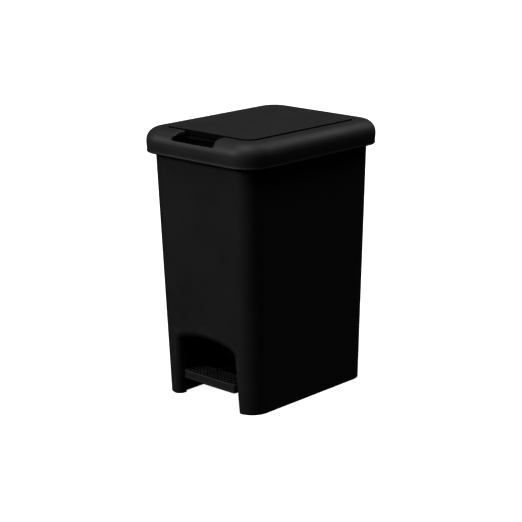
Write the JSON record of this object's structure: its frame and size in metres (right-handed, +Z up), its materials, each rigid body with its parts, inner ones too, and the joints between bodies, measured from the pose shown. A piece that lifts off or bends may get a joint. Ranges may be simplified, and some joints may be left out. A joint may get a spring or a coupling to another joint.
{
  "type": "pedal trash can",
  "caption": "Rectangular plastic pedal bin with a tapered body, domed collar, flush flap lid and a foot pedal in an arched recess that lifts the lid by a push rod.",
  "frame": {"origin": "on the floor under the centre of the collar's outline", "axes": "+Z up, the pedal and finger notch face -Y, the hinge and push rod are at +Y, +X to the right seen from the front"},
  "size_m": [0.248, 0.324, 0.441],
  "materials": {
    "shell_plastic": "fine satin grain",
    "collar_plastic": "fine satin grain",
    "lid_plastic": "fine matte grain",
    "tread_plastic": "satin, scuffed",
    "painted_steel": "black powder coat",
    "zinc_steel": "zinc plated",
    "white_nylon": "natural nylon",
    "pad_rubber": "matte rubber"
  },
  "bodies": {
    "can": {"body_shell": "shell_plastic", "base_plate": "shell_plastic", "base_screws": "zinc_steel", "foot_pads": "pad_rubber", "axle_bracket_left": "shell_plastic", "axle_bracket_right": "shell_plastic", "bracket_screws": "zinc_steel", "pedal_axle": "zinc_steel", "axle_caps": "white_nylon", "rod_duct": "shell_plastic", "duct_screws": "zinc_steel", "rod_guide_upper": "white_nylon", "rod_guide_lower": "white_nylon"},
    "collar": {"collar_ring": "collar_plastic", "hinge_pin_left": "zinc_steel", "hinge_pin_right": "zinc_steel", "lid_bumpers": "pad_rubber"},
    "lid": {"lid_panel": "lid_plastic", "lid_liner": "shell_plastic", "lid_crank": "white_nylon", "crank_screws": "zinc_steel", "liner_screws": "zinc_steel"},
    "pedal": {"pedal_lever": "painted_steel", "pedal_tread": "tread_plastic", "tread_pad": "pad_rubber", "tread_screws": "zinc_steel", "lever_nose": "white_nylon"},
    "rod": {"push_rod": "zinc_steel", "rod_cap": "white_nylon", "rod_shoe": "white_nylon"}
  },
  "joints": [
    {"name": "collar_lift", "type": "slide", "parent": "can", "child": "collar", "axis": [0, 0, 1], "range_m": [0, 0.06]},
    {"name": "lid_hinge", "type": "hinge", "parent": "collar", "child": "lid", "pos_m": [0, 0.116, 0.438], "axis": [-1, 0, 0], "range_deg": [0, 80]},
    {"name": "pedal_hinge", "type": "hinge", "parent": "can", "child": "pedal", "pos_m": [0, 0.01, 0.026], "axis": [1, 0, 0], "range_deg": [0, 11.5]},
    {"name": "rod_slide", "type": "slide", "parent": "can", "child": "rod", "axis": [0, 0, 1], "range_m": [0, 0.01858]}
  ],
  "couplings": [
    {"joint": "pedal_hinge", "follows": "lid_hinge", "ratio": 0.14375},
    {"joint": "rod_slide", "follows": "lid_hinge", "m_per_rad": 0.013309}
  ]
}
